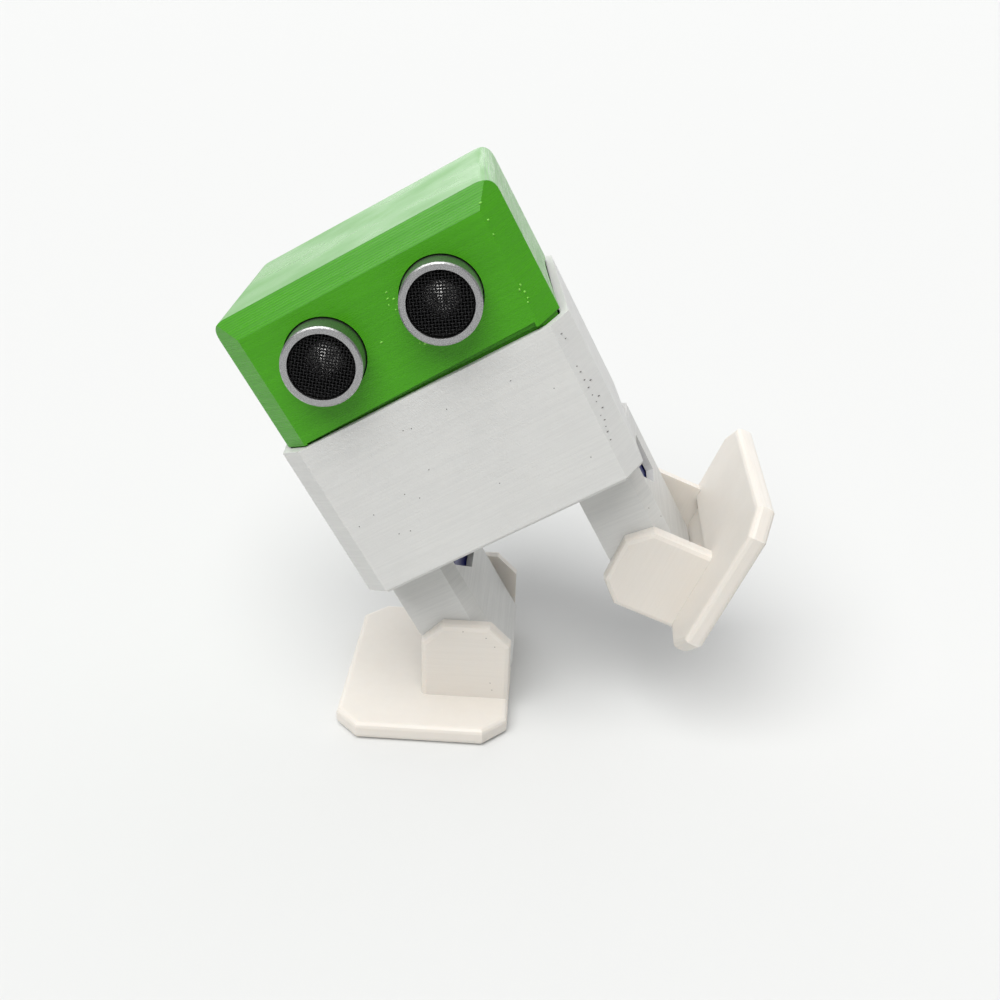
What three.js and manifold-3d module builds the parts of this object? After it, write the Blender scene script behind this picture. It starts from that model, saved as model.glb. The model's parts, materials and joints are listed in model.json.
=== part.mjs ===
// A small two-legged walking robot, printed in plastic and driven by four micro servos.
// It stands on its right foot with the body rolled outwards over that foot and the left foot lifted.
// Millimetres, +Z up. The row frame is the right foot's: origin at the middle of its sole,
// +X to the robot's left, -Y to its front.
import * as THREE from 'three';
import { mergeVertices } from 'three/addons/utils/BufferGeometryUtils.js';
import Module from 'manifold-3d';

const wasm = await Module();
wasm.setup();

// ---------------------------------------------------------------- driving dimensions

const GAP = 0.3; // between pieces that touch
const degrees = Math.PI / 180;

const foot = {
  width: 40, length: 52.4, plate: 4.4, corner: 5.4, round: 1.3,
  uprightWidth: 21, uprightTop: 23.8, uprightCorner: 4.9, uprightBevel: 1.2,
  frontInset: 12.7, frontThickness: 3.2, rearInset: 1.8,
  pivotFromInner: 11.6, pivotHeight: 16.3, pivotBack: 3.4,
  swingPocket: 1.8, swingReach: 7,
};
const leg = {
  outer: 7.2, inner: 8, front: -13.6, back: 17.2, edge: 2.6,
  bottom: -11.2, outerCorner: 4.4, innerCorner: 0.8, top: 27.4, frontWall: 2, deck: 5.2,
};
const hip = { x: 24.1, y: -1, drop: 28.5 }; // axis in the torso, and ankle axis below the torso's floor
const shell = { // underside, floor and top are heights in the torso's frame
  width: 65.6, depth: 62, height: 36.2, wall: 1.8, floor: 3, underside: -0.7, corner: 4.4, edge: 0.8,
};
const head = {
  width: 62.8, depth: 61.2, height: 29.2, wall: 1.8, round: 3.6,
  frontEdgeX: 4.8, frontEdgeY: 5.2, frontTopY: 3.6, frontTopZ: 4.4, backEdge: 5, backTop: 4.2,
  seat: 0.6, lipDrop: 3.7, lipWall: 1.3, bow: 2.3,
};
const eye = {
  spacing: 26, shift: -0.5, height: 13.9, radius: 8, length: 12.1, rim: 1.4, hole: 8.3, reach: 6.3,
};
const servo = {
  width: 11.8, length: 22.3, height: 22.7, shaftInset: 5.4,
  bossRadius: 5.4, boss: 3.7, idlerRadius: 2.8, splineRadius: 2.3, spline: 2.8,
  earBottom: 15.9, ear: 2.5, earReach: 4.9, earHole: 1,
};
const horn = { hubRadius: 3.5, hubHeight: 4.1, arm: 1.6, armLength: 7, tipRadius: 2.2 };
const cell = { radius: 7.1, length: 50.5 };
const pose = { roll: 29.05, rightHip: -4.82, leftHip: -6.75, leftAnkle: -39.72, headTilt: 0.5 }; // degrees

// ---------------------------------------------------------------- materials

const plastic = (color, roughness) => new THREE.MeshStandardMaterial({ color, roughness, metalness: 0 });
const metal = (color, roughness) => new THREE.MeshStandardMaterial({ color, roughness, metalness: 1 });
const green = plastic(0x48a81e, 0.4);
const white = plastic(0xe4e3df, 0.55);
const footWhite = plastic(0xeae3dd, 0.5);
const servoBlue = plastic(0x1b2a9c, 0.25);
const nylon = plastic(0xf0f0ea, 0.4);
const black = plastic(0x151515, 0.45);
const boardBlue = plastic(0x14427c, 0.35);
const boardGreen = plastic(0x1c5a34, 0.35);
const wireBrown = plastic(0x8a3a1c, 0.5);
const paper = plastic(0x8c8f98, 0.5);
const steel = metal(0xb9bcc0, 0.3);
const can = metal(0xc9cbcc, 0.28);
const mesh = metal(0x3b3b3d, 0.5);

// ---------------------------------------------------------------- solids

const axes = {
  x: new THREE.Matrix4().makeBasis(
    new THREE.Vector3(0, 1, 0), new THREE.Vector3(0, 0, 1), new THREE.Vector3(1, 0, 0)),
  y: new THREE.Matrix4().makeBasis(
    new THREE.Vector3(1, 0, 0), new THREE.Vector3(0, 0, 1), new THREE.Vector3(0, -1, 0)),
  z: new THREE.Matrix4(),
};

function toSolid(geometry) {
  const bare = geometry.clone();
  bare.deleteAttribute('normal');
  bare.deleteAttribute('uv');
  const merged = mergeVertices(bare, 1e-4);
  return new wasm.Manifold(new wasm.Mesh({
    numProp: 3,
    vertProperties: Float32Array.from(merged.attributes.position.array),
    triVerts: Uint32Array.from(merged.index.array),
  }));
}

function toGeometry(solid) {
  const data = solid.getMesh();
  const geometry = new THREE.BufferGeometry();
  geometry.setAttribute('position', new THREE.BufferAttribute(Float32Array.from(data.vertProperties), 3));
  geometry.setIndex(Array.from(data.triVerts));
  geometry.computeVertexNormals();
  return geometry;
}

function block(x0, x1, y0, y1, z0, z1) {
  const geometry = new THREE.BoxGeometry(x1 - x0, y1 - y0, z1 - z0);
  return toSolid(geometry.translate((x0 + x1) / 2, (y0 + y1) / 2, (z0 + z1) / 2));
}

// A flat outline carried along an axis. The outline is in (y, z) for x, (x, z) for y and (x, y) for z.
function prism(outline, axis, from, to, bevel = 0, bevelSegments = 1) {
  const shape = outline instanceof THREE.Shape
    ? outline
    : new THREE.Shape(outline.map(([u, v]) => new THREE.Vector2(u, v)));
  const geometry = new THREE.ExtrudeGeometry(shape, {
    depth: to - from - 2 * bevel, steps: 1, curveSegments: 8,
    bevelEnabled: bevel > 0, bevelThickness: bevel, bevelSize: bevel, bevelOffset: -bevel, bevelSegments,
  });
  geometry.translate(0, 0, bevel);
  geometry.applyMatrix4(axes[axis]);
  const start = axis === 'y' ? to : from;
  geometry.translate(...['x', 'y', 'z'].map((name) => (name === axis ? start : 0)));
  return toSolid(geometry);
}

// A round bar along an axis, at (u, v) in that axis's outline plane.
function rod(radius, axis, from, to, u = 0, v = 0, segments = 32, bevel = 0) {
  const shape = new THREE.Shape();
  for (let i = 0; i < segments; i += 1) {
    const angle = (2 * Math.PI * (i + 0.5)) / segments;
    const point = [u + radius * Math.cos(angle), v + radius * Math.sin(angle)];
    if (i === 0) shape.moveTo(...point);
    else shape.lineTo(...point);
  }
  return prism(shape, axis, from, to, bevel);
}

const join = (first, ...others) => others.reduce((sum, other) => sum.add(other), first);
const cut = (first, ...others) => others.reduce((rest, other) => rest.subtract(other), first);
const common = (first, ...others) => others.reduce((rest, other) => rest.intersect(other), first);

function piece(name, solid, material) {
  const part = new THREE.Mesh(toGeometry(solid), material);
  part.name = name;
  return part;
}

// A rectangle with a cut on each corner: [x, y] reach of the cut, anticlockwise from the lower left corner.
function chamferedRectangle(x0, x1, y0, y1, cuts) {
  const [a, b, c, d] = cuts;
  return [
    [x0 + a[0], y0], [x1 - b[0], y0], [x1, y0 + b[1]], [x1, y1 - c[1]],
    [x1 - c[0], y1], [x0 + d[0], y1], [x0, y1 - d[1]], [x0, y0 + a[1]],
  ].filter((point, i, all) => {
    const next = all[(i + 1) % all.length];
    return Math.hypot(point[0] - next[0], point[1] - next[1]) > 1e-6;
  });
}

// ---------------------------------------------------------------- feet

// side is +1 where the foot's inner edge faces +X (the right foot) and -1 for the left foot.
function footSolid(side) {
  const halfWidth = foot.width / 2;
  const halfLength = foot.length / 2;
  const corner = [foot.corner, foot.corner];
  const outline = chamferedRectangle(-halfWidth, halfWidth, -halfLength, halfLength, Array(4).fill(corner));
  const plate = prism(outline, 'z', 0, foot.plate, foot.round, 3);

  const inner = halfWidth;
  const outer = halfWidth - foot.uprightWidth;
  const cutCorner = [foot.uprightCorner, foot.uprightCorner];
  const cuts = [[0, 0], [0, 0], cutCorner, cutCorner];
  const root = foot.plate / 2;
  const face = chamferedRectangle(outer, inner, root, foot.uprightTop, cuts).map(([x, z]) => [side * x, z]);
  const front = -halfLength + foot.frontInset;
  const rear = halfLength - foot.rearInset;
  const rearFace = foot.pivotBack + leg.back + 0.4;
  const pivotX = side * (halfWidth - foot.pivotFromInner);

  const frontBlock = common(
    prism(face, 'y', front, front + foot.frontThickness + 2, foot.uprightBevel, 2),
    block(-halfWidth, halfWidth, front, front + foot.frontThickness, root, foot.uprightTop));
  const rearBlock = common(
    prism(face, 'y', rearFace - 2, rear, foot.uprightBevel, 2),
    block(-halfWidth, halfWidth, rearFace, rear, root, foot.uprightTop));
  const pin = rod(2.4, 'y', front + foot.frontThickness - 0.5, front + foot.frontThickness + 2,
    pivotX, foot.pivotHeight, 24);

  const hornSeat = hornOutline(horn, GAP).map(([x, z]) => [pivotX + x, foot.pivotHeight + z]);
  const armBack = foot.pivotBack + leg.back + 0.7 + horn.arm + GAP;
  return cut(
    join(plate, frontBlock, rearBlock, pin),
    prism(hornSeat, 'y', rearFace - 1, armBack),
    rod(2.6, 'y', rearFace, rear + 1, pivotX, foot.pivotHeight, 24),
    block(pivotX - foot.swingReach, pivotX + foot.swingReach, front + foot.frontThickness, rearFace,
      foot.plate - foot.swingPocket, foot.plate + 1));
}

// ---------------------------------------------------------------- servos

// The servo stands on its base with its shaft along +Z at the origin of x and y, and its length along +Y.
function servoSolid() {
  const half = servo.width / 2;
  const near = -servo.shaftInset;
  const far = servo.length - servo.shaftInset;
  const top = servo.height;
  const bossTop = top + servo.boss;
  const body = join(
    prism(chamferedRectangle(-half, half, near, far, Array(4).fill([0.5, 0.5])), 'z', 0, top),
    rod(servo.bossRadius, 'z', top - 1, bossTop),
    rod(servo.idlerRadius, 'z', top - 1, bossTop, 0, servo.bossRadius + 0.8, 24),
    block(-half, half, near - servo.earReach, far + servo.earReach,
      servo.earBottom, servo.earBottom + servo.ear),
    rod(servo.splineRadius, 'z', bossTop - 1, bossTop + servo.spline, 0, 0, 20),
    block(-2, 2, far - 1, far + 1.4, 3, 4.6));
  const holes = [near - servo.earReach / 2, far + servo.earReach / 2]
    .map((y) => rod(servo.earHole, 'z', servo.earBottom - 1, servo.earBottom + servo.ear + 1, 0, y, 16));
  return cut(body, ...holes, rod(1.2, 'z', bossTop + 0.8, bossTop + servo.spline + 1, 0, 0, 16));
}

// Outline of a one-armed horn, arm pointing along -v, grown by a clearance.
function hornOutline({ hubRadius, armLength, tipRadius }, grow) {
  const outline = [];
  const steps = 8;
  for (let i = 0; i <= steps; i += 1) {
    const angle = Math.PI + (i / steps) * Math.PI;
    outline.push([(tipRadius + grow) * Math.cos(angle), -armLength + (tipRadius + grow) * Math.sin(angle)]);
  }
  for (let i = 0; i <= steps; i += 1) {
    const angle = (i / steps) * Math.PI;
    outline.push([(hubRadius + grow) * Math.cos(angle), (hubRadius + grow) * Math.sin(angle)]);
  }
  return outline;
}

// The horn's shaft is along +Z. Its hub starts just above the servo's boss and its arm is at the far end.
function hornSolid() {
  const start = servo.height + servo.boss + GAP;
  const end = start + horn.hubHeight;
  return cut(
    join(rod(horn.hubRadius, 'z', start, end), prism(hornOutline(horn, 0), 'z', end - horn.arm, end)),
    rod(servo.splineRadius + GAP, 'z', start - 1, start - GAP + servo.spline + GAP, 0, 0, 20),
    rod(1.2, 'z', start, end + 1, 0, 0, 16));
}

function screwSolid(shankRadius, headRadius, headHeight, length) {
  return cut(
    join(rod(shankRadius, 'z', -length, 0.4, 0, 0, 12), rod(headRadius, 'z', 0, headHeight, 0, 0, 20)),
    rod(headRadius * 0.45, 'z', headHeight * 0.5, headHeight + 1, 0, 0, 4));
}

// A servo with its two ear screws. Its horn and horn screw turn with what it drives.
function servoGroup(name) {
  const group = new THREE.Group();
  group.add(piece(`${name}_servo`, servoSolid(), servoBlue));
  const ends = [-servo.shaftInset - servo.earReach / 2, servo.length - servo.shaftInset + servo.earReach / 2];
  ends.forEach((y, i) => {
    const screw = piece(`${name}_servo_screw_${i + 1}`, screwSolid(0.8, 1.9, 1.2, 6), steel);
    screw.rotation.x = Math.PI;
    screw.position.set(0, y, servo.earBottom - GAP);
    group.add(screw);
  });
  return group;
}

function hornGroup(name) {
  const group = new THREE.Group();
  group.add(piece(`${name}_horn`, hornSolid(), nylon));
  const screw = piece(`${name}_horn_screw`, screwSolid(0.9, 2, 1.2, 3.4), steel);
  screw.position.z = servo.height + servo.boss + 2 * GAP + horn.hubHeight;
  group.add(screw);
  return group;
}

// ---------------------------------------------------------------- legs

// A servo turned to lie with its shaft along +Y, and one turned to hang with its shaft along -Z.
const shaftBackwards = new THREE.Matrix4().makeBasis(
  new THREE.Vector3(-1, 0, 0), new THREE.Vector3(0, 0, 1), new THREE.Vector3(0, 1, 0));
const shaftDown = new THREE.Matrix4().makeBasis(
  new THREE.Vector3(-1, 0, 0), new THREE.Vector3(0, 1, 0), new THREE.Vector3(0, 0, -1));

// Where the ankle servo lies in the leg: shaft along +Y at the pivot, length along +Z.
const ankleBase = leg.back - 1.8 - GAP - servo.boss - servo.height;

// Where the hip servo hangs, in the torso: shaft along -Z, on the torso's floor.
const hipFace = shell.floor + GAP;
const hipHornEnd = hipFace - servo.boss - GAP - horn.hubHeight + hip.drop; // in the leg's frame

function legSolid() {
  const { outer, inner, front, back, edge, bottom, outerCorner, innerCorner, top } = leg;
  const none = [0, 0];
  const plan = chamferedRectangle(-outer, inner, front, back, [none, [edge, edge], [edge, edge], none]);
  const low = [[outerCorner, outerCorner], [innerCorner, innerCorner]];
  const elevation = chamferedRectangle(-outer, inner, bottom, top, [...low, none, none]);
  const outside = common(prism(plan, 'z', bottom, top), prism(elevation, 'y', front, back));

  const half = servo.width / 2 + GAP;
  const cavityFront = front + leg.frontWall;
  const earFront = ankleBase + servo.earBottom;
  const earBack = earFront + servo.ear;
  const caseEnd = ankleBase + servo.height;
  const caseLow = -servo.shaftInset - GAP;
  const caseHigh = servo.length - servo.shaftInset + GAP;
  const deckBottom = top - leg.deck;
  const lowScrew = caseLow + GAP - servo.earReach / 2;
  const highScrew = caseHigh - GAP + servo.earReach / 2;
  const window = [
    [front + edge + 0.4, deckBottom], [front + edge + 0.4, 19], [-0.8, 12.2],
    [earBack - 0.6, 12.2], [earBack - 0.6, deckBottom],
  ];
  const cable = block(-3, 3, cavityFront, cavityFront + 4, deckBottom - 1, top + 1);
  const hornSeat = hornOutline(horn, GAP).map(([x, y]) => [x, -y]);
  return cut(
    outside,
    block(-half, half, cavityFront, earBack + GAP, caseLow, deckBottom),
    block(-half, half, earFront - GAP, earBack + GAP, caseLow - servo.earReach, caseHigh + servo.earReach),
    block(-half, half, earBack, caseEnd + GAP, caseLow, caseHigh),
    rod(servo.bossRadius + GAP, 'y', caseEnd, back - 1.8 + 0.01),
    rod(servo.idlerRadius + GAP, 'y', caseEnd, back - 1.8 + 0.01, 0, servo.bossRadius + 0.8, 24),
    rod(horn.hubRadius + 0.5, 'y', back - 2, back + 1),
    rod(2.8, 'y', front - 1, cavityFront + 1, 0, 0, 24),
    rod(2.3, 'y', front - 1, earFront, 0, lowScrew, 20),
    ...[lowScrew, highScrew].map((z) => rod(1.1, 'y', earBack, earBack + 5, 0, z, 12)),
    prism(window, 'x', half - 1, inner + 1),
    cable,
    rod(servo.bossRadius + 0.5, 'z', hipHornEnd + horn.hubHeight - GAP, top + 1),
    prism(hornSeat, 'z', hipHornEnd - GAP, top + 1),
    rod(2.6, 'z', deckBottom - 1, hipHornEnd, 0, 0, 24));
}

function legGroup(name) {
  const group = new THREE.Group();
  group.add(piece(`${name}_leg`, legSolid(), white));

  const ankle = servoGroup(`${name}_ankle`);
  ankle.matrixAutoUpdate = false;
  ankle.matrix.copy(shaftBackwards);
  ankle.matrix.setPosition(0, ankleBase, 0);
  group.add(ankle);

  const hipHorn = hornGroup(`${name}_hip`);
  hipHorn.rotation.set(Math.PI, 0, 0);
  hipHorn.position.z = hipFace + hip.drop + servo.height;
  group.add(hipHorn);
  return group;
}

// The foot with the ankle's horn, in the foot's own frame.
function footGroup(name, side) {
  const group = new THREE.Group();
  group.add(piece(`${name}_foot`, footSolid(side), footWhite));
  const ankleHorn = hornGroup(`${name}_ankle`);
  ankleHorn.matrixAutoUpdate = false;
  ankleHorn.matrix.copy(shaftBackwards);
  ankleHorn.matrix.setPosition(
    side * (foot.width / 2 - foot.pivotFromInner), foot.pivotBack + ankleBase, foot.pivotHeight);
  group.add(ankleHorn);
  return group;
}

// ---------------------------------------------------------------- torso

function shellOutline(inset) {
  const halfX = shell.width / 2 - inset;
  const halfY = shell.depth / 2 - inset;
  const corner = shell.corner - inset * (2 - Math.SQRT2);
  return chamferedRectangle(-halfX, halfX, -halfY, halfY, Array(4).fill([corner, corner]));
}

const batterySeat = 5; // height of the battery holder's lower edge
const holder = { halfX: 15.6, halfY: 28.7, pocket: 13, web: 1.6, sideWall: 1.2, endWall: 1.6 };
const powerSwitch = { x: -22, z: 24, length: 8.6, depth: 3.6, height: 4, travel: 2 };

function bodyShellSolid() {
  const outside = common(
    prism(shellOutline(0), 'z', shell.underside, shell.height + 10, shell.edge, 1),
    block(-shell.width, shell.width, -shell.depth, shell.depth, shell.underside, shell.height));
  const inside = prism(shellOutline(shell.wall), 'z', shell.floor, shell.height + 1);
  const below = shell.underside - 1;
  const postTop = hipFace + servo.height - servo.earBottom - servo.ear - GAP;
  const near = hip.y - servo.shaftInset;
  const far = hip.y + servo.length - servo.shaftInset;
  const additions = [];
  const cuts = [];
  for (const side of [-1, 1]) {
    const x = side * hip.x;
    for (const [y0, y1] of [[near - servo.earReach, near - GAP], [far + GAP, far + servo.earReach]]) {
      additions.push(block(x - 4.5, x + 4.5, y0, y1, shell.floor - 0.5, postTop));
    }
    for (const y of [near - servo.earReach / 2, far + servo.earReach / 2]) {
      cuts.push(rod(1.1, 'z', shell.floor + 0.4, postTop + 1, x, y, 16));
    }
    cuts.push(rod(servo.bossRadius + GAP, 'z', below, shell.floor + 1, x, hip.y));
    const idlerY = hip.y + servo.bossRadius + 0.8;
    cuts.push(rod(servo.idlerRadius + GAP, 'z', below, shell.floor + 1, x, idlerY, 24));
    cuts.push(block(x - 3, x + 3, leg.front + hip.y + 2, leg.front + hip.y + 5, below, shell.floor + 1));
    const rail = side * (holder.halfX - holder.sideWall / 2);
    additions.push(block(rail - 0.6, rail + 0.6, -20, 20, shell.floor - 0.5, batterySeat - GAP));
  }
  const slot = powerSwitch.travel / 2 + 1.3;
  cuts.push(block(powerSwitch.x - slot, powerSwitch.x + slot, shell.depth / 2 - 3, shell.depth / 2 + 1,
    powerSwitch.z - 1.2, powerSwitch.z + 1.2));
  return cut(join(cut(outside, inside), ...additions), ...cuts);
}

function batteryHolderSolid() {
  const { halfX, halfY, pocket, web, sideWall, endWall } = holder;
  const x = halfX - sideWall;
  const y = halfY - endWall;
  const z0 = batterySeat;
  const z1 = z0 + pocket;
  const z2 = z1 + web;
  const z3 = z2 + pocket;
  return cut(
    block(-halfX, halfX, -halfY, halfY, z0, z3),
    block(-x, x, -y, y, z0 - 1, z1),
    block(-x, x, -y, y, z2, z3 + 1),
    block(-8, 8, y - 1, halfY + 1, z3 - 5, z3 + 1),
    block(-8, 8, -halfY - 1, 1 - y, z3 - 5, z3 + 1));
}

function cellSolid() {
  const nub = 1;
  const half = (cell.length - nub) / 2;
  return join(rod(cell.radius, 'y', -half, half), rod(2.7, 'y', half - 1, half + nub, 0, 0, 20));
}

function switchGroup() {
  const group = new THREE.Group();
  const inner = shell.depth / 2 - shell.wall - GAP;
  const { x, z, length, depth, height, travel } = powerSwitch;
  const body = cut(
    block(x - length / 2, x + length / 2, inner - depth, inner, z - height / 2, z + height / 2),
    block(x - travel / 2 - 1, x + travel / 2 + 1, inner - 2, inner + 1, z - 1, z + 1));
  group.add(piece('power_switch_body', body, steel));
  const lever = x - travel / 2;
  const half = 0.7;
  const slider = block(lever - half, lever + half, inner - 1.7, shell.depth / 2 + 1.6, z - half, z + half);
  group.add(piece('power_switch_slider', slider, black));
  return group;
}

// ---------------------------------------------------------------- head

function headOuter(inset) {
  const halfX = head.width / 2 - inset;
  const halfY = head.depth / 2 - inset;
  const top = head.height - inset;
  const grow = inset * (2 - Math.SQRT2);
  const reach = (value) => Math.max(value - grow, 0.3);
  const radius = Math.max(head.round - inset, 0.5);
  const elevation = new THREE.Shape();
  elevation.moveTo(-halfX, -1);
  elevation.lineTo(halfX, -1);
  elevation.lineTo(halfX, top - radius);
  elevation.quadraticCurveTo(halfX, top, halfX - radius, top);
  elevation.lineTo(radius - halfX, top);
  elevation.quadraticCurveTo(-halfX, top, -halfX, top - radius);
  const front = [reach(head.frontEdgeX), reach(head.frontEdgeY)];
  const back = [reach(head.backEdge), reach(head.backEdge)];
  const plan = chamferedRectangle(-halfX, halfX, -halfY, halfY, [front, front, back, back]);
  const profile = chamferedRectangle(-halfY, halfY, -1, top, [
    [0, 0], [0, 0], [reach(head.backTop), reach(head.backTop)],
    [reach(head.frontTopY), reach(head.frontTopZ)],
  ]);
  return common(
    prism(elevation, 'y', -halfY, halfY),
    prism(plan, 'z', -1, top),
    prism(profile, 'x', -halfX, halfX));
}

const board = { halfX: 27, front: -18.6, back: 26.4, bottom: 22, thickness: 1.6 };
const boardHoles = [-1, 1].flatMap(
  (side) => [board.front + 3.5, board.back - 6].map((y) => [side * 23.5, y]));
const nano = { x0: -27.6, x1: 15.6, halfY: 8.9, top: 12.6, thickness: 1.6 };
const buzzerAt = [19.5, -4.5];
const usbPort = { x0: -29.2, x1: -20, halfY: 3.9, z0: 6.8, z1: 10.7, wall: 0.5 };

function headShellSolid() {
  const span = Math.max(head.width, head.depth);
  const outside = common(headOuter(0), block(-span, span, -span, span, 0, head.height));
  const hollow = headOuter(head.wall);
  const lipTop = 1.6;
  const lipOutline = (inset) => shellOutline(shell.wall + 0.45 + inset);
  const lip = cut(
    prism(lipOutline(0), 'z', -head.lipDrop, lipTop),
    prism(lipOutline(head.lipWall), 'z', -head.lipDrop - 1, lipTop + 1));
  const lipGap = block(20, span, -21, 17, -head.lipDrop - 1, -0.01);

  const ceiling = head.height - head.wall;
  const postBottom = board.bottom + board.thickness + GAP;
  const posts = boardHoles.map(([x, y]) => rod(3, 'z', postBottom, ceiling + 0.5, x, y, 20));
  const pilots = boardHoles.map(([x, y]) => rod(1.3, 'z', board.bottom, ceiling - 0.2, x, y, 16));
  const eyes = [-1, 1].map((side) => rod(
    eye.hole, 'y', -head.depth / 2 - 1, -head.depth / 2 + head.wall + 2,
    eye.shift + (side * eye.spacing) / 2, eye.height, 48));

  const flat = head.width / 2 - head.frontEdgeX - 0.6;
  const notch = prism([[-flat, -1], [flat, -1], [flat, 1.1], [-flat, 0.25]], 'y',
    -head.depth / 2 - 1, -head.depth / 2 + 1.1);
  const bow = new THREE.Shape();
  bow.moveTo(-25, -0.5);
  bow.lineTo(21, -0.5);
  bow.lineTo(21, 0);
  bow.quadraticCurveTo(2, 2 * head.bow, -25, 0);
  const bowed = prism(bow, 'x', 20, span);
  const usb = block(-span, -20, -5.2, 5.2, 5.6, 12);
  return cut(join(cut(outside, hollow), cut(lip, lipGap), ...posts), ...pilots, ...eyes, notch, bowed, usb);
}

function eyeGroup(name, side) {
  const group = new THREE.Group();
  const { radius, length, rim } = eye;
  const cup = cut(
    rod(radius, 'y', 0, length, 0, 0, 56, 0.3),
    rod(radius - rim, 'y', -1, length - 1.2, 0, 0, 56));
  group.add(piece(`${name}_eye_can`, cup, can));
  group.add(piece(`${name}_eye_grille`, rod(radius - rim - GAP, 'y', 0.5, 0.9, 0, 0, 56), mesh));
  const cone = new THREE.LatheGeometry(
    [[0, 0], [4.6, 0], [4.6, 0.5], [2, 3], [2, 7], [0, 7]].map(([r, h]) => new THREE.Vector2(r, h)), 24);
  group.add(piece(`${name}_eye_cone`, toSolid(cone.translate(0, 2, 0)), can));
  group.position.set(eye.shift + (side * eye.spacing) / 2, eyeFront, eye.height);
  return group;
}

const eyeFront = -head.depth / 2 - eye.reach;

function sensorPieces() {
  const face = eyeFront + eye.length + GAP;
  const middle = eye.shift;
  const boardSolid = cut(
    block(middle - 22.5, middle + 22.5, face, face + 1.6, eye.height - 10, eye.height + 10),
    ...[[-21, -8.5], [21, -8.5], [-21, 8.5], [21, 8.5]].map(
      ([x, z]) => rod(0.9, 'y', face - 1, face + 3, middle + x, eye.height + z, 16)));
  const back = face + 1.6 + GAP;
  const pins = [-3.81, -1.27, 1.27, 3.81].map(
    (x) => block(middle + x - 0.32, middle + x + 0.32, back + 1, back + 8, 5.5, 6.14));
  return [
    piece('sensor_board', boardSolid, boardBlue),
    piece('sensor_header', join(
      block(middle - 5.08, middle + 5.08, back, back + 2.5, 4.6, 7.1), ...pins), black),
  ];
}

function controllerPieces() {
  const { halfX, front, back, bottom, thickness } = board;
  const shield = cut(
    block(-halfX, halfX, front, back, bottom, bottom + thickness),
    ...boardHoles.map(([x, y]) => rod(1.6, 'z', bottom - 1, bottom + 3, x, y, 16)));
  const pieces = [piece('shield_board', shield, boardGreen)];
  boardHoles.forEach(([x, y], i) => {
    const screw = piece(`shield_screw_${i + 1}`, screwSolid(1, 2.4, 1.5, 5), steel);
    screw.rotation.x = Math.PI;
    screw.position.set(x, y, bottom - GAP);
    pieces.push(screw);
  });
  const socketTop = bottom - GAP;
  const socketBottom = nano.top + GAP;
  [-1, 1].forEach((side, i) => {
    const y = side * 7.62;
    const socket = block(-25.5, 12.6, y - 1.25, y + 1.25, socketBottom, socketTop);
    pieces.push(piece(`shield_socket_${i + 1}`, socket, black));
  });
  pieces.push(piece('controller_board',
    block(nano.x0, nano.x1, -nano.halfY, nano.halfY, nano.top - nano.thickness, nano.top), boardBlue));
  const { x0, x1, halfY, z0, z1, wall } = usbPort;
  const usb = cut(
    block(x0, x1, -halfY, halfY, z0, z1),
    block(x0 - 1, x1 - 2, wall - halfY, halfY - wall, z0 + wall, z1 - wall));
  pieces.push(piece('usb_socket', usb, steel));
  const buzzer = cut(
    rod(6, 'z', bottom - GAP - 8.5, bottom - GAP, ...buzzerAt),
    rod(1, 'z', bottom - GAP - 10, bottom - GAP - 2, ...buzzerAt, 16));
  pieces.push(piece('buzzer', buzzer, black));
  return pieces;
}

// A flat three-wire servo lead from the top of a hip servo up the side wall to the shield.
function leadSolid(side) {
  const servoTop = hipFace + servo.height + GAP;
  const shieldEdge = shell.height + head.seat + board.bottom - GAP;
  const strip = (x0, x1, z0, z1) => {
    const [low, high] = side > 0 ? [x0, x1] : [-x1, -x0];
    return block(low, high, 9, 12.6, z0, z1);
  };
  return join(
    strip(22, 28.9, servoTop, servoTop + 1.2),
    strip(27.7, 28.9, servoTop, shieldEdge - 1.6),
    strip(25.2, 28.9, shieldEdge - 2.8, shieldEdge - 1.6));
}

// ---------------------------------------------------------------- assembly

function torsoGroup() {
  const torso = new THREE.Group();
  torso.add(piece('body_shell', bodyShellSolid(), white));
  torso.add(piece('battery_holder', batteryHolderSolid(), black));
  const lowCell = batterySeat + holder.pocket - GAP - cell.radius;
  const highCell = batterySeat + holder.pocket + holder.web + GAP + cell.radius;
  [[-1, lowCell], [1, lowCell], [-1, highCell], [1, highCell]].forEach(([side, z], i) => {
    const battery = piece(`battery_cell_${i + 1}`, cellSolid(), paper);
    battery.position.set(side * (cell.radius + 0.1), 0, z);
    battery.rotation.z = side > 0 ? 0 : Math.PI;
    torso.add(battery);
  });
  torso.add(switchGroup());

  for (const [name, side] of [['right', -1], ['left', 1]]) {
    const hipServo = servoGroup(`${name}_hip`);
    hipServo.matrixAutoUpdate = false;
    hipServo.matrix.copy(shaftDown);
    hipServo.matrix.setPosition(side * hip.x, hip.y, hipFace + servo.height);
    torso.add(hipServo);
    torso.add(piece(`${name}_hip_servo_lead`, leadSolid(side), wireBrown));
  }

  const top = new THREE.Group();
  top.position.z = shell.height + head.seat;
  top.rotation.y = -pose.headTilt * degrees;
  top.add(piece('head_shell', headShellSolid(), green));
  top.add(...sensorPieces(), ...controllerPieces());
  top.add(eyeGroup('right', -1), eyeGroup('left', 1));
  torso.add(top);
  return torso;
}

const robot = new THREE.Group();
robot.name = 'walking_robot';

robot.add(footGroup('right', 1));

const rightLeg = legGroup('right');
rightLeg.position.set(foot.width / 2 - foot.pivotFromInner, foot.pivotBack, foot.pivotHeight);
rightLeg.rotation.y = -pose.roll * degrees;
robot.add(rightLeg);

const rightHip = new THREE.Group();
rightHip.position.z = hip.drop;
rightHip.rotation.z = -pose.rightHip * degrees;
rightLeg.add(rightHip);

const torso = torsoGroup();
torso.position.set(hip.x, -hip.y, 0);
rightHip.add(torso);

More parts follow.
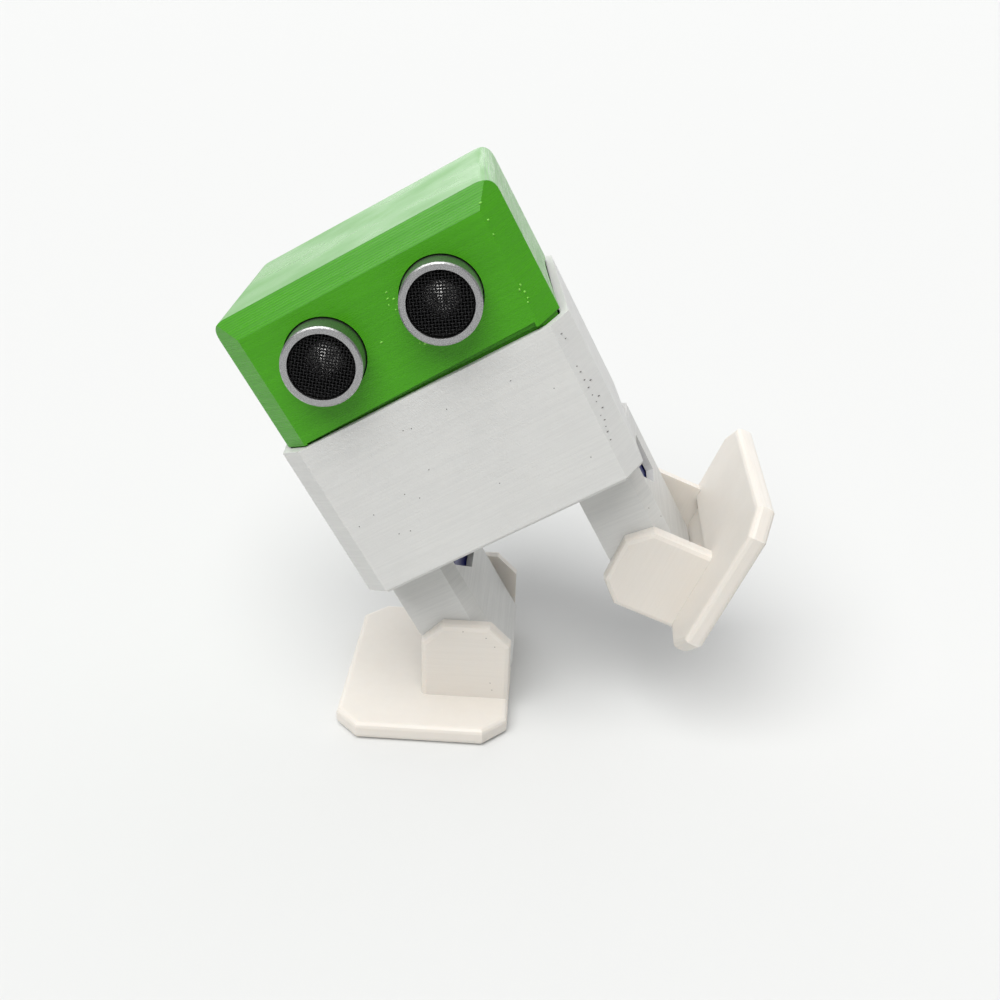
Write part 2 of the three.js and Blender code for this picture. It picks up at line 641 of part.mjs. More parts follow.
const leftHip = new THREE.Group();
leftHip.position.set(hip.x, hip.y, 0);
leftHip.rotation.z = pose.leftHip * degrees;
torso.add(leftHip);

const leftLeg = legGroup('left');
leftLeg.position.z = -hip.drop;
leftHip.add(leftLeg);

const leftAnkle = new THREE.Group();
leftAnkle.rotation.y = pose.leftAnkle * degrees;
leftLeg.add(leftAnkle);

const leftFoot = footGroup('left', -1);
leftFoot.position.set(foot.width / 2 - foot.pivotFromInner, -foot.pivotBack, -foot.pivotHeight);
leftAnkle.add(leftFoot);

robot.updateMatrixWorld(true);

export default robot;
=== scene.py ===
"""Looks for a small printed two-legged walking robot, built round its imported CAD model.

Lengths in this file are millimetres in the local frame of the part they belong to,
and local_position() and finish_piece() turn them to and from the row frame's metres.
"""
import json
import math
import random

import bmesh
import bpy
from mathutils import Matrix, Vector


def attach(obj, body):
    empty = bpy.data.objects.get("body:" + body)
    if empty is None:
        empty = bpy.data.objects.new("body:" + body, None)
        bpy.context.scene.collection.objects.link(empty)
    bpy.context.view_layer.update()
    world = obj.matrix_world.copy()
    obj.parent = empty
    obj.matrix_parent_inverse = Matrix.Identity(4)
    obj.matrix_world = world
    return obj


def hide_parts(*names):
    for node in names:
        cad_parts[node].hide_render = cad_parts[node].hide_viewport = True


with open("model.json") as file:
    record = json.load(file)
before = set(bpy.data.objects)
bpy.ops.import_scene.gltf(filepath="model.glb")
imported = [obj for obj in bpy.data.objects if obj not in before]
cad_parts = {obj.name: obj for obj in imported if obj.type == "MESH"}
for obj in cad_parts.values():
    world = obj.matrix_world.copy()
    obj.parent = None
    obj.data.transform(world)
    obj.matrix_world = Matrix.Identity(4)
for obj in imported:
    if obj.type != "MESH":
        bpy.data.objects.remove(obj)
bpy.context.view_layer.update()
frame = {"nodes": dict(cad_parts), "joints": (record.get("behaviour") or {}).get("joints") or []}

MM = 0.001

# Sizes in part.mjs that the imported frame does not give, repeated here in millimetres and degrees.
HIP_Y = -1.0
HEAD_SEAT = 36.8
HEAD_TILT = 0.5
EYE_SPACING = 26.0
EYE_SHIFT = -0.5
EYE_HEIGHT = 13.9
EYE_FRONT = -36.9
LEFT_ANKLE = -39.72
FOOT_PIVOT = (8.4, 3.4, 16.3)
FOOT_UPRIGHT_FRONT = 13.5

# A front corner's flat cut: half width and half depth of the block, and how far the cut goes in x and y.
HEAD_CORNER = (31.4, 30.6, 4.8, 5.2)
BODY_CORNER = (32.8, 31.0, 4.4, 4.4)
LEG_CORNER = (8.0, 13.6, 2.6, 2.6)

joints = {joint["name"]: joint for joint in frame["joints"]}


# ---------------------------------------------------------------- local frames

def basis(origin, x, y, z):
    """A local frame as a matrix, its origin in metres."""
    matrix = Matrix((x, y, z)).transposed().to_4x4()
    matrix.translation = origin
    return matrix


def moved(matrix, x, y, z):
    return matrix @ Matrix.Translation(Vector((x, y, z)) * MM)


def joint_point(name):
    return Vector(joints[name]["pos_m"])


def local_frames():
    """The frame of each printed part, from the joints' own places and directions."""
    up = Vector(joints["right_hip"]["axis"]).normalized()
    across = Vector(joints["power_switch"]["axis"]).normalized()
    back = up.cross(across)
    middle = (joint_point("right_hip") + joint_point("left_hip")) / 2
    torso = basis(middle - back * HIP_Y * MM, across, back, up)
    head = moved(torso, 0, 0, HEAD_SEAT) @ Matrix.Rotation(math.radians(-HEAD_TILT), 4, "Y")
    found = {"torso": torso, "head": head, "right_foot": Matrix.Identity(4)}
    for side in ("right", "left"):
        leg_back = Vector(joints[side + "_ankle"]["axis"]).normalized()
        leg_across = leg_back.cross(up)
        found[side + "_leg"] = basis(joint_point(side + "_ankle"), leg_across, leg_back, up)
        offset = EYE_SPACING / 2 * (1 if side == "left" else -1)
        found[side + "_eye"] = moved(head, EYE_SHIFT + offset, EYE_FRONT, EYE_HEIGHT)
    turn = Matrix.Rotation(math.radians(LEFT_ANKLE), 4, "Y")
    x, y, z = FOOT_PIVOT
    found["left_foot"] = moved(found["left_leg"] @ turn, x, -y, -z)
    return found


FRAMES = local_frames()


# ---------------------------------------------------------------- node helpers

class Nodes:
    """Adds nodes to one tree, and joins values or sockets to their inputs."""

    def __init__(self, tree):
        self.tree = tree

    def add(self, kind, *inputs, **settings):
        node = self.tree.nodes.new(kind)
        for key, value in settings.items():
            setattr(node, key, value)
        for socket, value in zip(node.inputs, inputs):
            self.put(socket, value)
        return node

    def put(self, socket, value):
        if value is None:
            return
        if isinstance(value, bpy.types.NodeSocket):
            self.tree.links.new(value, socket)
        else:
            socket.default_value = value

    def math(self, operation, *inputs):
        return self.add("ShaderNodeMath", *inputs, operation=operation).outputs[0]

    def scaled(self, vector, factors):
        node = self.add("ShaderNodeVectorMath", vector, factors, operation="MULTIPLY")
        return node.outputs["Vector"]

    def noise(self, vector, detail=2.0, scale=1.0):
        node = self.add("ShaderNodeTexNoise")
        self.put(node.inputs["Vector"], vector)
        node.inputs["Scale"].default_value = scale
        node.inputs["Detail"].default_value = detail
        return node.outputs["Fac"]

    def ramp(self, value, low, high, to_low=0.0, to_high=1.0):
        node = self.add("ShaderNodeMapRange", value, low, high, to_low, to_high)
        node.interpolation_type = "SMOOTHSTEP"
        return node.outputs["Result"]

    def mix(self, factor, a, b):
        node = self.add("ShaderNodeMix", data_type="RGBA")
        self.put(node.inputs["Factor"], factor)
        self.put(node.inputs["A"], (*a, 1) if isinstance(a, tuple) else a)
        self.put(node.inputs["B"], (*b, 1) if isinstance(b, tuple) else b)
        return node.outputs["Result"]

    def bump(self, height, depth_mm, normal=None, strength=1.0):
        node = self.add("ShaderNodeBump")
        node.inputs["Strength"].default_value = strength
        node.inputs["Distance"].default_value = depth_mm * MM
        self.put(node.inputs["Height"], height)
        self.put(node.inputs["Normal"], normal)
        return node.outputs["Normal"]


def new_material(name, roughness=0.5, **sockets):
    material = bpy.data.materials.new(name)
    material.use_nodes = True
    shader = material.node_tree.nodes["Principled BSDF"]
    shader.inputs["Roughness"].default_value = roughness
    for key, value in sockets.items():
        shader.inputs[key.replace("_", " ")].default_value = value
    return material, Nodes(material.node_tree), shader


def local_position(nodes, matrix):
    """The shaded point in a part's own frame, in millimetres."""
    inverse = matrix.inverted()
    coordinates = nodes.add("ShaderNodeTexCoord").outputs["Object"]
    mapping = nodes.add("ShaderNodeMapping", vector_type="POINT")
    nodes.put(mapping.inputs["Vector"], coordinates)
    mapping.inputs["Location"].default_value = inverse.translation / MM
    mapping.inputs["Rotation"].default_value = inverse.to_euler("XYZ")
    mapping.inputs["Scale"].default_value = (1 / MM,) * 3
    return mapping.outputs["Vector"]


def facing(nodes, matrix, axis):
    """How far the surface faces along one axis of a part's frame, from -1 to 1."""
    normal = nodes.add("ShaderNodeTexCoord").outputs["Normal"]
    direction = matrix.to_3x3() @ Vector(axis)
    return nodes.add("ShaderNodeVectorMath", normal, direction, operation="DOT_PRODUCT").outputs["Value"]


# ---------------------------------------------------------------- materials

def printed(name, where, colour, dark, layer, depth, streak=0.5, terrace=0.0, **sockets):
    """Layered print: ridges between layers, uneven streaks along them, steps on slopes, and grain."""
    material, nodes, shader = new_material(name, **sockets)
    matrix = FRAMES[where]
    point = local_position(nodes, matrix)
    height = nodes.add("ShaderNodeSeparateXYZ", point).outputs["Z"]
    tilt = nodes.math("ABSOLUTE", facing(nodes, matrix, (0, 0, 1)))
    flat = nodes.ramp(tilt, 0.9, 0.98)
    sloped = nodes.math("MULTIPLY", nodes.ramp(tilt, 0.25, 0.4), nodes.math("SUBTRACT", 1.0, flat))

    ridges = nodes.math("SINE", nodes.math("MULTIPLY", height, 2 * math.pi / layer))
    steps = nodes.math("MULTIPLY", sloped, nodes.ramp(ridges, -0.2, 0.9))
    long_streaks = nodes.noise(nodes.scaled(point, (0.05, 0.05, 2.4)), detail=4.0)
    fine_streaks = nodes.noise(nodes.scaled(point, (0.5, 0.5, 7.0)), detail=2.0)
    mottle = nodes.noise(nodes.scaled(point, (0.10, 0.10, 0.14)), detail=3.0)
    grain = nodes.noise(point, detail=2.0, scale=5.0)
    infill_lines = nodes.noise(nodes.scaled(point, (4.0, 0.14, 0.0)), detail=2.0)

    uneven = nodes.math("ADD", long_streaks, nodes.math("MULTIPLY", fine_streaks, 0.6))
    uneven = nodes.math("ADD", uneven, nodes.math("MULTIPLY", mottle, 0.5))
    tone = nodes.math("MULTIPLY", nodes.ramp(uneven, 0.75, 1.35), streak)
    tone = nodes.math("ADD", tone, nodes.math("MULTIPLY", steps, terrace))
    nodes.put(shader.inputs["Base Color"], nodes.mix(tone, colour, dark))

    wall = nodes.math("ADD", nodes.math("MULTIPLY", ridges, 0.25), nodes.math("MULTIPLY", fine_streaks, 1.2))
    wall = nodes.math("ADD", wall, long_streaks)
    relief = nodes.add("ShaderNodeMix", data_type="FLOAT")
    nodes.put(relief.inputs["Factor"], flat)
    nodes.put(relief.inputs["A"], wall)
    nodes.put(relief.inputs["B"], infill_lines)
    normal = nodes.bump(relief.outputs["Result"], depth)
    nodes.put(shader.inputs["Normal"], nodes.bump(grain, 0.02, normal, 0.5))
    rough = shader.inputs["Roughness"].default_value
    nodes.put(shader.inputs["Roughness"], nodes.ramp(long_streaks, 0.3, 0.7, rough - 0.07, rough + 0.07))
    return material


def moulded(name, colour, grain_scale=3.0, depth=0.02, variation=0.15, **sockets):
    """Plain moulded plastic, rubber or card: a fine grain and a slow change of tone."""
    material, nodes, shader = new_material(name, **sockets)
    point = local_position(nodes, FRAMES["torso"])
    grain = nodes.noise(point, detail=3.0, scale=grain_scale)
    slow = nodes.ramp(nodes.noise(point, detail=2.0, scale=0.25), 0.35, 0.65)
    darker = tuple(channel * (1 - variation) for channel in colour)
    nodes.put(shader.inputs["Base Color"], nodes.mix(slow, colour, darker))
    nodes.put(shader.inputs["Normal"], nodes.bump(grain, depth, strength=0.6))
    return material


def spun_metal(name, colour, where, roughness=0.32, speckle=0.25):
    """Drawn or turned metal: circular marks round the local Y axis and a bright speckle."""
    material, nodes, shader = new_material(name, roughness=roughness, Metallic=1.0)
    point = local_position(nodes, FRAMES[where])
    parts = nodes.add("ShaderNodeSeparateXYZ", point)
    x, z = parts.outputs["X"], parts.outputs["Z"]
    radius = nodes.math("SQRT", nodes.math("ADD", nodes.math("MULTIPLY", x, x), nodes.math("MULTIPLY", z, z)))
    turning = nodes.noise(nodes.add("ShaderNodeCombineXYZ", radius, parts.outputs["Y"]).outputs[0],
                          detail=3.0, scale=6.0)
    speckles = nodes.noise(point, detail=3.0, scale=7.0)
    darker = tuple(channel * (1 - speckle) for channel in colour)
    nodes.put(shader.inputs["Base Color"], nodes.mix(nodes.ramp(speckles, 0.4, 0.62), colour, darker))
    shine = nodes.ramp(speckles, 0.35, 0.65, roughness - 0.06, roughness + 0.12)
    nodes.put(shader.inputs["Roughness"], shine)
    normal = nodes.bump(turning, 0.01, strength=0.7)
    nodes.put(shader.inputs["Normal"], nodes.bump(speckles, 0.015, normal, 0.6))
    return material


def circuit_board(name, colour, pale):
    """Solder mask with copper tracks showing through as paler lines."""
    material, nodes, shader = new_material(name, roughness=0.3, Coat_Weight=0.5)
    point = local_position(nodes, FRAMES["head"])
    cells = nodes.add("ShaderNodeTexVoronoi", feature="DISTANCE_TO_EDGE")
    nodes.put(cells.inputs["Vector"], point)
    cells.inputs["Scale"].default_value = 0.35
    track = nodes.ramp(cells.outputs["Distance"], 0.05, 0.08, 1.0, 0.0)
    nodes.put(shader.inputs["Base Color"], nodes.mix(track, colour, pale))
    nodes.put(shader.inputs["Normal"], nodes.bump(track, 0.035))
    return material


GREEN = (0.058, 0.315, 0.006)
GREEN_DARK = (0.034, 0.215, 0.004)
WHITE = (0.620, 0.620, 0.603)
WHITE_DARK = (0.535, 0.536, 0.527)
FOOT = (0.700, 0.664, 0.612)
FOOT_DARK = (0.645, 0.608, 0.558)


def make_materials():
    soft = {"Subsurface_Weight": 0.12, "Subsurface_Radius": (1.0, 0.9, 0.8), "Subsurface_Scale": 0.0012}
    softer = {"Subsurface_Weight": 0.3, "Subsurface_Radius": (1.0, 0.8, 0.65), "Subsurface_Scale": 0.002}
    made = {}
    made["head"] = printed("head_print", "head", GREEN, GREEN_DARK, 0.42, 0.03, streak=0.3,
                           terrace=0.7, roughness=0.30, Specular_IOR_Level=0.27)
    made["body"] = printed("body_print", "torso", WHITE, WHITE_DARK, 0.30, 0.03, streak=0.4,
                           roughness=0.5, **soft)
    for side in ("right", "left"):
        made[side + "_leg"] = printed(
            side + "_leg_print", side + "_leg", WHITE, WHITE_DARK, 0.30, 0.02, roughness=0.5, **soft)
        made[side + "_foot"] = printed(
            side + "_foot_print", side + "_foot", FOOT, FOOT_DARK, 0.30, 0.006, streak=0.35,
            roughness=0.45, **softer)
        made[side + "_can"] = spun_metal(
            side + "_eye_can_metal", (0.52, 0.52, 0.525), side + "_eye", roughness=0.36, speckle=0.55)
        made[side + "_cone"] = spun_metal(
            side + "_eye_cone_metal", (0.86, 0.86, 0.85), side + "_eye", roughness=0.3)
    made["mesh"] = spun_metal("eye_wire_metal", (0.030, 0.030, 0.031), "head", roughness=0.5)
    made["liner"] = moulded("eye_liner_plastic", (0.006, 0.006, 0.007), roughness=0.7)
    made["servo"] = moulded("servo_case_plastic", (0.006, 0.010, 0.130), grain_scale=2.0, depth=0.01,
                            roughness=0.28, Specular_IOR_Level=0.35)
    made["nylon"] = moulded("horn_nylon", (0.82, 0.82, 0.78), roughness=0.4)
    made["black"] = moulded("black_moulding", (0.015, 0.015, 0.016), roughness=0.45)
    made["sleeve"] = moulded("battery_sleeve", (0.30, 0.31, 0.34), roughness=0.35, Metallic=0.6)
    made["steel"] = spun_metal("screw_steel", (0.62, 0.63, 0.65), "torso", roughness=0.3)
    made["blue_board"] = circuit_board("blue_board", (0.012, 0.07, 0.25), (0.03, 0.16, 0.42))
    made["green_board"] = circuit_board("green_board", (0.01, 0.12, 0.04), (0.05, 0.26, 0.10))
    for wire, colour in (("red", (0.38, 0.020, 0.012)), ("brown", (0.13, 0.040, 0.015)),
                         ("orange", (0.55, 0.16, 0.02))):
        made[wire + "_wire"] = moulded(wire + "_wire", colour, roughness=0.5)
    made["scar"] = moulded("print_scar", (0.13, 0.125, 0.12), roughness=0.8)
    made["speck"] = moulded("dark_speck", (0.05, 0.045, 0.04), roughness=0.8)
    made["blob"] = moulded("green_blob", (0.20, 0.58, 0.06), roughness=0.25)
    return made


materials = make_materials()


def material_for(node):
    """The finish of a CAD node, from what it is."""
    if node in ("head_shell", "body_shell"):
        return materials[node.split("_")[0]]
    if node.endswith(("_leg", "_foot")):
        return materials[node]
    if node.endswith("_eye_can"):
        return materials[node.split("_")[0] + "_can"]
    if node.endswith("_servo"):
        return materials["servo"]
    if node.endswith("_horn"):
        return materials["nylon"]
    if "screw" in node or node in ("usb_socket", "power_switch_body"):
        return materials["steel"]
    if node.startswith("battery_cell"):
        return materials["sleeve"]
    if node == "shield_board":
        return materials["green_board"]
    if node.endswith("_board"):
        return materials["blue_board"]
    return materials["black"]


# ---------------------------------------------------------------- CAD nodes

WELD_DISTANCE = 0.002
FLAT_DEGREES = 0.5
SHARP_DEGREES = 20

# Radius of the small edges, for the nodes that show.
EDGE_ROUNDING = {
    "head_shell": 0.35, "body_shell": 0.35, "right_leg": 0.3, "left_leg": 0.3,
    "right_foot": 0.8, "left_foot": 0.8, "right_eye_can": 0.12, "left_eye_can": 0.12,
    "right_ankle_servo": 0.2, "left_ankle_servo": 0.2,
    "power_switch_slider": 0.12, "usb_socket": 0.12,
}


def dress_nodes():
    """Gives every CAD node its material, and a small radius on the edges that show."""
    for name, node in frame["nodes"].items():
        for slot in node.material_slots:
            slot.material = material_for(name)
        if name not in EDGE_ROUNDING:
            continue
        weld = node.modifiers.new("weld", "WELD")
        weld.merge_threshold = WELD_DISTANCE * MM
        flatten = node.modifiers.new("flatten", "DECIMATE")
        flatten.decimate_type = "DISSOLVE"
        flatten.angle_limit = math.radians(FLAT_DEGREES)
        rounding = node.modifiers.new("rounding", "BEVEL")
        rounding.width = EDGE_ROUNDING[name] * MM
        rounding.segments = 3
        rounding.limit_method = "ANGLE"
        rounding.angle_limit = math.radians(SHARP_DEGREES)
        rounding.use_clamp_overlap = True
        rounding.miter_outer = "MITER_ARC"
        shading = node.modifiers.new("shading", "WEIGHTED_NORMAL")
        shading.keep_sharp = True


# ---------------------------------------------------------------- pieces

def finish_piece(name, mesh, where, body, slot, *used):
    """A mesh in a part's own frame, in millimetres, becomes a piece in place on its body."""
    mesh.transform(FRAMES[where] @ Matrix.Scale(MM, 4))
    mesh.update()
    piece = bpy.data.objects.new(name, mesh)
    bpy.context.scene.collection.objects.link(piece)
    for material in used:
        mesh.materials.append(material)
    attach(piece, body)
    return piece


def mesh_from(name, bm, smooth=True):
    bmesh.ops.recalc_face_normals(bm, faces=bm.faces)
    mesh = bpy.data.meshes.new(name)
    bm.to_mesh(mesh)
    bm.free()
    for face in mesh.polygons:
        face.use_smooth = smooth
    return mesh


def tube(bm, path, radius, sides, material=0):
    """A closed tube along a path, square to it at each point."""
    rings = []
    for i, point in enumerate(path):
        ahead = path[min(i + 1, len(path) - 1)] - path[max(i - 1, 0)]
        ahead.normalize()
        helper = Vector((0, 1, 0)) if abs(ahead.y) < 0.9 else Vector((1, 0, 0))
        side = ahead.cross(helper).normalized()
        other = side.cross(ahead)
        ring = []
        for k in range(sides):
            angle = 2 * math.pi * k / sides
            ring.append(bm.verts.new(point + radius * (math.cos(angle) * side + math.sin(angle) * other)))
        rings.append(ring)
    for a, b in zip(rings, rings[1:]):
        for k in range(sides):
            face = bm.faces.new((a[k], a[(k + 1) % sides], b[(k + 1) % sides], b[k]))
            face.material_index = material
    for ring in (rings[0], rings[-1]):
        bm.faces.new(ring).material_index = material


def revolve(profile, segments):
    """A closed profile of (radius, y) turned round the local Y axis."""
    bm = bmesh.new()
    rings = []
    for radius, y in profile:
        if radius < 1e-6:
            rings.append([bm.verts.new((0, y, 0))])
            continue
        rings.append([
            bm.verts.new((radius * math.cos(2 * math.pi * k / segments), y,
                          radius * math.sin(2 * math.pi * k / segments)))
            for k in range(segments)])
    for a, b in zip(rings, rings[1:] + rings[:1]):
        if len(a) == 1 and len(b) == 1:
            continue
        for k in range(segments):
            n = (k + 1) % segments
            corners = [a[k % len(a)], a[n % len(a)], b[n % len(b)], b[k % len(b)]]
            kept = [v for i, v in enumerate(corners) if v not in corners[:i]]
            bm.faces.new(kept)
    return bm


def woven_grille(turn):
    """Wires over and under each other, cut to the round of the can."""
    reach, pitch, wire, wave, depth = 6.3, 0.64, 0.15, 0.14, 0.7
    bm = bmesh.new()
    count = int(reach / pitch)
    spin = Matrix.Rotation(math.radians(turn), 4, "Y")
    for direction in (0, 1):
        for i in range(-count, count + 1):
            offset = i * pitch
            half = math.sqrt(max(reach * reach - offset * offset, 0))
            steps = max(int(half / (pitch / 4)), 1)
            path = []
            for s in range(-steps, steps + 1):
                u = half * s / steps
                sign = 1 if (i + direction) % 2 else -1
                y = depth + sign * wave * math.cos(math.pi * u / pitch)
                point = Vector((u, y, offset)) if direction else Vector((offset, y, u))
                path.append(spin @ point)
            tube(bm, path, wire, 5)
    return bm


# Profiles as (radius, depth behind the can's front).
CONE = [(0, 2.4), (0.6, 2.6), (3.3, 4.8), (4.3, 5.0), (4.4, 5.2),
        (3.4, 5.4), (2.0, 6.0), (2.0, 8.9), (0, 8.9)]
LINER = [(6.1, 1.3), (6.38, 1.3), (6.38, 10.3), (0, 10.3), (0, 9.6), (6.1, 9.6)]
MESH_TURN = {"right": 38, "left": 24}  # degrees


def make_eyes():
    for side, turn in MESH_TURN.items():
        grille = finish_piece(
            side + "_eye_mesh", mesh_from(side + "_eye_mesh", woven_grille(turn)),
            side + "_eye", "torso", "sensor_grille", materials["mesh"])
        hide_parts(side + "_eye_grille")

        cone = finish_piece(
            side + "_eye_horn", mesh_from(side + "_eye_horn", revolve(CONE, 48)),
            side + "_eye", "torso", "sensor_can", materials[side + "_cone"])
        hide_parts(side + "_eye_cone")

        finish_piece(
            side + "_eye_liner", mesh_from(side + "_eye_liner", revolve(LINER, 48), smooth=False),
            side + "_eye", "torso", "black_plastic", materials["liner"])


LEAD_Y = 10.8
LEAD_START = 22.0
LEAD_WALL = 28.3
LEAD_BULGE = 29.4  # furthest out, at the height of the gap between head and body
LEAD_GAP = 37.0
LEAD_LOW = 26.9
LEAD_HIGH = 56.7


def bent_path(points, radius):
    """The points with each corner replaced by a short arc."""
    path = [Vector(points[0])]
    for before, corner, after in zip(points, points[1:], points[2:]):
        corner = Vector(corner)
        start = corner + (Vector(before) - corner).normalized() * radius
        end = corner + (Vector(after) - corner).normalized() * radius
        for i in range(6):
            t = i / 5
            path.append(start.lerp(corner, t).lerp(corner.lerp(end, t), t))
    path.append(Vector(points[-1]))
    return path


def make_leads():
    """Three wires side by side, from each hip servo up the side wall to the shield."""
    wires = (materials["brown_wire"], materials["red_wire"], materials["orange_wire"])
    for side, sign in (("right", -1), ("left", 1)):
        bm = bmesh.new()
        for i in range(3):
            y = LEAD_Y + 1.15 * (i - 1)
            points = [
                (sign * (LEAD_START + 0.1), y, LEAD_LOW), (sign * LEAD_WALL, y, LEAD_LOW),
                (sign * LEAD_BULGE, y, LEAD_GAP), (sign * LEAD_WALL, y, LEAD_HIGH),
                (sign * 25.4, y, LEAD_HIGH)]
            tube(bm, bent_path(points, 1.2), 0.56, 10, i)
        lead = finish_piece(
            side + "_hip_servo_wires", mesh_from(side + "_hip_servo_wires", bm),
            "torso", "torso", "wire", *wires)
        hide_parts(side + "_hip_servo_lead")


def blobs(name, where, body, slot, material, spots, seed):
    """Small lumps on a surface: (x, y, z, size) with the sizes along the part's own axes."""
    draw = random.Random(seed)
    bm = bmesh.new()
    for x, y, z, size in spots:
        made = bmesh.ops.create_icosphere(bm, subdivisions=2, radius=1.0)["verts"]
        for vertex in made:
            ripple = 1 + draw.uniform(-0.12, 0.12)
            local = vertex.co * ripple
            vertex.co = Vector((x + local.x * size[0], y + local.y * size[1], z + local.z * size[2]))
    return finish_piece(name, mesh_from(name, bm), where, body, slot, material)


def chamfer_y(x, half_x, half_y, cut_x, cut_y):
    """Where a front corner's flat cut lies at x."""
    return -half_y + cut_y * (x - (half_x - cut_x)) / cut_x


# The marks' places follow the photo: a scratch program measured most of them, and they were typed in.

def make_head_stringing(draw):
    """Pale wisps of plastic on the head's front and on its left corner."""
    strings = []
    for x, z in ((3.6, 19.6), (3.2, 18.4), (4.2, 17.8), (2.8, 17.2), (4.4, 16.4), (3.5, 15.8), (4.9, 15.2),
                 (4.4, 7.9), (5.2, 7.3), (-2.2, 11.5)):
        size = (draw.uniform(0.15, 0.45), 0.10, draw.uniform(0.12, 0.3))
        strings.append((x, -HEAD_CORNER[1], z, size))
    for x, z in ((27.3, 25.9), (27.1, 22.5), (26.8, 19.7), (26.9, 8.8), (26.4, 8.2), (27.0, 7.2),
                 (27.0, 5.9), (26.7, 5.2)):
        size = (draw.uniform(0.18, 0.35), 0.16, draw.uniform(0.18, 0.35))
        strings.append((x, chamfer_y(x, *HEAD_CORNER), z, size))
    blobs("head_stringing", "head", "torso", "green_print", materials["blob"], strings, 3)


def make_body_scars(draw):
    """Dark scars on the body's left front corner, where its layers opened."""
    scars = []
    for x, z in ((29.5, 33.4), (29.8, 32.1), (29.5, 24.7), (29.5, 22.8), (29.5, 21.0), (29.6, 19.2),
                 (29.7, 17.5), (30.5, 21.9), (30.5, 18.1), (29.5, 13.3), (29.0, 10.9), (28.8, 9.1),
                 (30.2, 15.6), (29.4, 26.1), (29.3, 14.6), (29.2, 12.0)):
        size = (draw.uniform(0.25, 0.55), draw.uniform(0.1, 0.2), draw.uniform(0.08, 0.14))
        scars.append((x - 0.05, chamfer_y(x, *BODY_CORNER) + 0.08, z, size))
    blobs("body_scars", "torso", "torso", "white_print", materials["scar"], scars, 5)


def make_specks(draw):
    """Dark specks: random on the body's front, placed on the right foot and the left leg."""
    dot = (0.12, 0.08, 0.1)
    on_body = [(draw.uniform(-26, 26), -BODY_CORNER[1], draw.uniform(3, 34), dot) for _ in range(14)]
    blobs("body_specks", "torso", "torso", "white_print", materials["speck"], on_body, 6)
    face = [(8.8, 22.6), (14.2, 21.2), (16.3, 18.9), (15.5, 8.7), (16.0, 6.7)]
    on_foot = [(x, -FOOT_UPRIGHT_FRONT, z, dot) for x, z in face]
    blobs("foot_specks", "right_foot", "right_foot", "foot_print", materials["speck"], on_foot, 7)
    on_leg = [(x, chamfer_y(x, *LEG_CORNER), z, dot) for x, z in ((6.2, 12.3), (7.6, 8.6))]
    blobs("leg_specks", "left_leg", "left_leg", "white_print", materials["speck"], on_leg, 8)


def make_print_marks():
    draw = random.Random(7)
    make_head_stringing(draw)
    make_body_scars(draw)
    make_specks(draw)


# ---------------------------------------------------------------- stage, light and camera

CAMERA_PLACE = Vector((23.97, -232.28, 164.42)) * MM
CAMERA_FORWARD = Vector((-0.0318, 0.8973, -0.4402))
CAMERA_RIGHT = Vector((0.998, 0.052, 0.034))
FOCAL_LENGTH = 40.28
SENSOR_WIDTH = 36

FLOOR_REACH = 12.0
FLOOR_HEIGHT = -0.0002

KEY_ENERGY = 3.1
KEY_SPREAD = 55  # degrees across
KEY_TILT = (29, -13)  # degrees from straight down, towards +y and +x


def make_camera():
    data = bpy.data.cameras.new("camera")
    data.sensor_width = SENSOR_WIDTH
    data.lens = FOCAL_LENGTH
    data.clip_start = 0.005
    data.clip_end = 50
    back = -CAMERA_FORWARD.normalized()
    right = (CAMERA_RIGHT - back * CAMERA_RIGHT.dot(back)).normalized()
    camera = bpy.data.objects.new("camera", data)
    camera.matrix_world = basis(CAMERA_PLACE, right, back.cross(right), back)
    bpy.context.scene.collection.objects.link(camera)
    bpy.context.scene.camera = camera


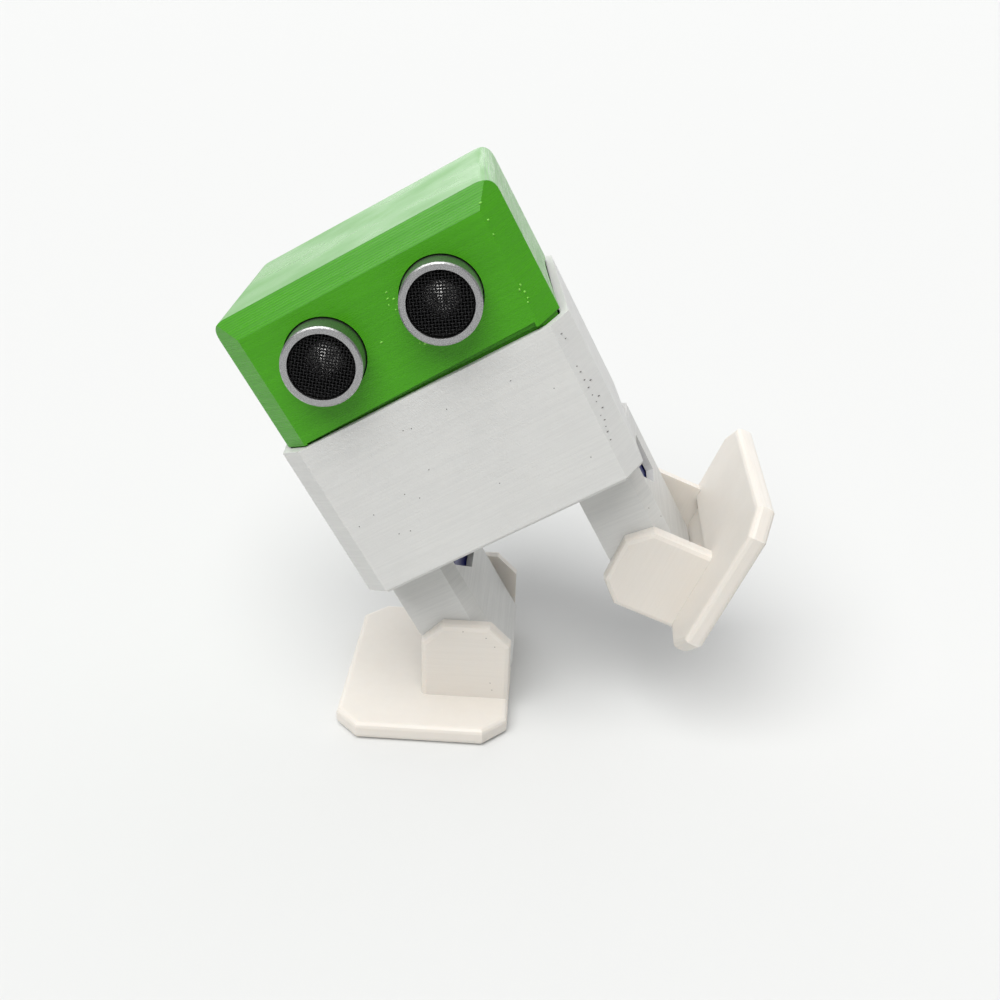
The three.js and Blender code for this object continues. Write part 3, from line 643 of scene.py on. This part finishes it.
def make_floor():
    bm = bmesh.new()
    corners = [bm.verts.new((x * FLOOR_REACH, y * FLOOR_REACH, FLOOR_HEIGHT))
               for x, y in ((-1, -1), (1, -1), (1, 1), (-1, 1))]
    bm.faces.new(corners)
    mesh = bpy.data.meshes.new("floor")
    bm.to_mesh(mesh)
    bm.free()
    floor = bpy.data.objects.new("floor", mesh)
    bpy.context.scene.collection.objects.link(floor)
    material, nodes, shader = new_material("floor_paper", roughness=0.8, Specular_IOR_Level=0.05)
    place = nodes.add("ShaderNodeTexCoord").outputs["Object"]
    fibre = nodes.noise(place, detail=3.0, scale=900.0)
    shader.inputs["Base Color"].default_value = (0.665, 0.67, 0.665, 1)
    nodes.put(shader.inputs["Normal"], nodes.bump(fibre, 0.01))
    mesh.materials.append(material)


def make_light():
    """A wide source high at the front left, and a room that is brightest above and behind the robot."""
    scene = bpy.context.scene
    scene.view_settings.view_transform = "Standard"
    world = bpy.data.worlds.new("room")
    world.use_nodes = True
    scene.world = world
    nodes = Nodes(world.node_tree)
    direction = nodes.add("ShaderNodeSeparateXYZ", nodes.add("ShaderNodeTexCoord").outputs["Generated"])
    above = nodes.ramp(direction.outputs["Z"], -0.05, 0.8, 0.10, 0.46)
    behind = nodes.ramp(direction.outputs["Y"], -0.1, 0.95, 0.0, 1.55)
    behind = nodes.math("MULTIPLY", behind, nodes.ramp(direction.outputs["Z"], 0.2, 0.8, 1.0, 0.2))
    strength = nodes.math("ADD", above, behind)
    background = world.node_tree.nodes["Background"]
    background.inputs["Color"].default_value = (0.985, 0.99, 1.0, 1)
    nodes.put(background.inputs["Strength"], strength)

    data = bpy.data.lights.new("key", "SUN")
    data.energy = KEY_ENERGY
    data.angle = math.radians(KEY_SPREAD)
    data.color = (1.0, 0.995, 0.985)
    key = bpy.data.objects.new("key", data)
    key.rotation_euler = (math.radians(KEY_TILT[0]), math.radians(KEY_TILT[1]), 0)
    scene.collection.objects.link(key)


make_camera()
dress_nodes()
make_eyes()
make_leads()
make_print_marks()
make_floor()
make_light()
